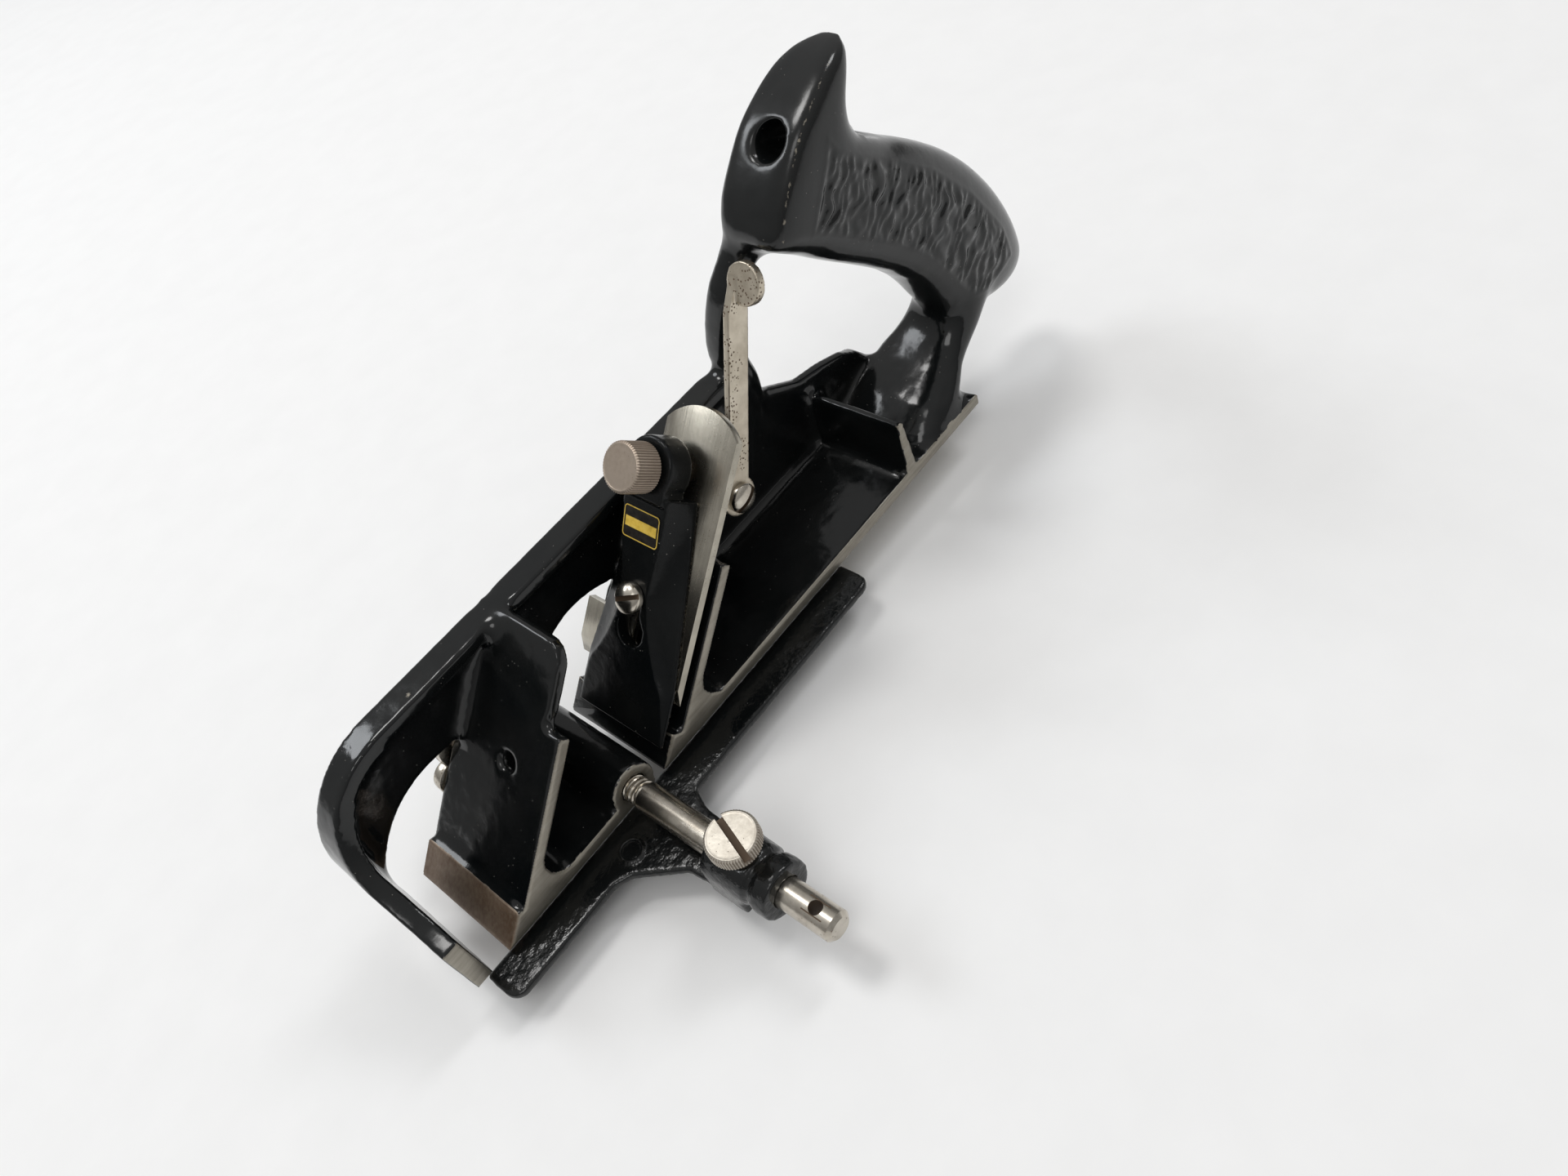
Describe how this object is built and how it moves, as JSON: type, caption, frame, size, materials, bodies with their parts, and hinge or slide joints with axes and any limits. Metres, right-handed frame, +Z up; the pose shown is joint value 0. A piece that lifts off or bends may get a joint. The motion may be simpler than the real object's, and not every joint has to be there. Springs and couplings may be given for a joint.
{
  "type": "rebate plane",
  "caption": "Cast-iron rebate plane with main and bullnose cutter seats, lever adjuster, sliding fence on a rod, depth stop, spur and an open D handle.",
  "frame": {"origin": "middle of the sole's length and width, on the sole plane", "axes": "+X towards the toe, +Y towards the fence side, +Z up from the sole"},
  "size_m": [0.262, 0.1176, 0.132],
  "materials": {
    "japanned_iron": "gloss black japan, worn at edges",
    "rough_black_iron": "rough black paint over sand casting",
    "tool_steel": "ground steel",
    "nickel_plate": "worn nickel plate with pitting"
  },
  "bodies": {
    "plane_body": {"body": "japanned_iron", "lever_pivot_screw": "nickel_plate"},
    "cutter": {"cutter": "tool_steel"},
    "lever_cap": {"lever_cap": "japanned_iron"},
    "cap_thumb_screw": {"cap_thumb_screw": "nickel_plate"},
    "cap_holding_screw": {"cap_holding_screw": "nickel_plate"},
    "adjusting_lever": {"adjusting_lever": "nickel_plate"},
    "fence": {"fence": "rough_black_iron"},
    "fence_rod": {"fence_rod": "nickel_plate"},
    "fence_thumb_screw": {"fence_thumb_screw": "nickel_plate"},
    "depth_stop": {"depth_stop": "nickel_plate"},
    "depth_stop_screw": {"depth_stop_screw": "nickel_plate", "depth_stop_washer": "nickel_plate"},
    "spur": {"spur": "tool_steel"},
    "spur_screw": {"spur_screw": "tool_steel"}
  },
  "joints": [
    {"name": "lever_turn", "type": "hinge", "parent": "plane_body", "child": "adjusting_lever", "pos_m": [-0.027, 0.00035, 0.031], "axis": [0, 1, 0], "range_deg": [-3, 9]},
    {"name": "cutter_slide", "type": "slide", "parent": "plane_body", "child": "cutter", "axis": [0.7071, 0, -0.7071], "range_m": [-0.00129, 0.00389]},
    {"name": "cap_slide", "type": "slide", "parent": "plane_body", "child": "lever_cap", "axis": [-0.7071, 0, 0.7071], "range_m": [0, 0.009]},
    {"name": "cap_screw_turn", "type": "hinge", "parent": "lever_cap", "child": "cap_thumb_screw", "pos_m": [-0.00788, 0.0025, 0.06152], "axis": [0.7071, 0, 0.7071], "range_deg": [0, 270]},
    {"name": "holding_screw_turn", "type": "hinge", "parent": "plane_body", "child": "cap_holding_screw", "pos_m": [0.00909, 0.0025, 0.03041], "axis": [0.7071, 0, 0.7071], "range_deg": [0, 270]},
    {"name": "rod_turn", "type": "hinge", "parent": "plane_body", "child": "fence_rod", "pos_m": [0.0482, 0.04, 0.0055], "axis": [0, 1, 0], "range_deg": [-180, 180]},
    {"name": "fence_slide", "type": "slide", "parent": "plane_body", "child": "fence", "axis": [0, 1, 0], "range_m": [-0.028, 0.01]},
    {"name": "fence_screw_turn", "type": "hinge", "parent": "fence", "child": "fence_thumb_screw", "pos_m": [0.0482, 0.06055, 0.02], "axis": [0, 0, 1], "range_deg": [0, 270]},
    {"name": "stop_slide", "type": "slide", "parent": "plane_body", "child": "depth_stop", "axis": [0, 0, 1], "range_m": [-0.009, 0]},
    {"name": "stop_screw_turn", "type": "hinge", "parent": "plane_body", "child": "depth_stop_screw", "pos_m": [0.0665, -0.025, 0.014], "axis": [0, 1, 0], "range_deg": [0, 270]},
    {"name": "spur_turn", "type": "hinge", "parent": "plane_body", "child": "spur", "pos_m": [0.0482, -0.0183, 0.0055], "axis": [0, 1, 0], "range_deg": [0, 270]},
    {"name": "spur_screw_turn", "type": "hinge", "parent": "plane_body", "child": "spur_screw", "pos_m": [0.0482, -0.015, 0.0055], "axis": [0, 1, 0], "range_deg": [0, 270]}
  ],
  "couplings": [
    {"joint": "lever_turn", "follows": "cutter_slide", "rad_per_m": 40.323}
  ]
}
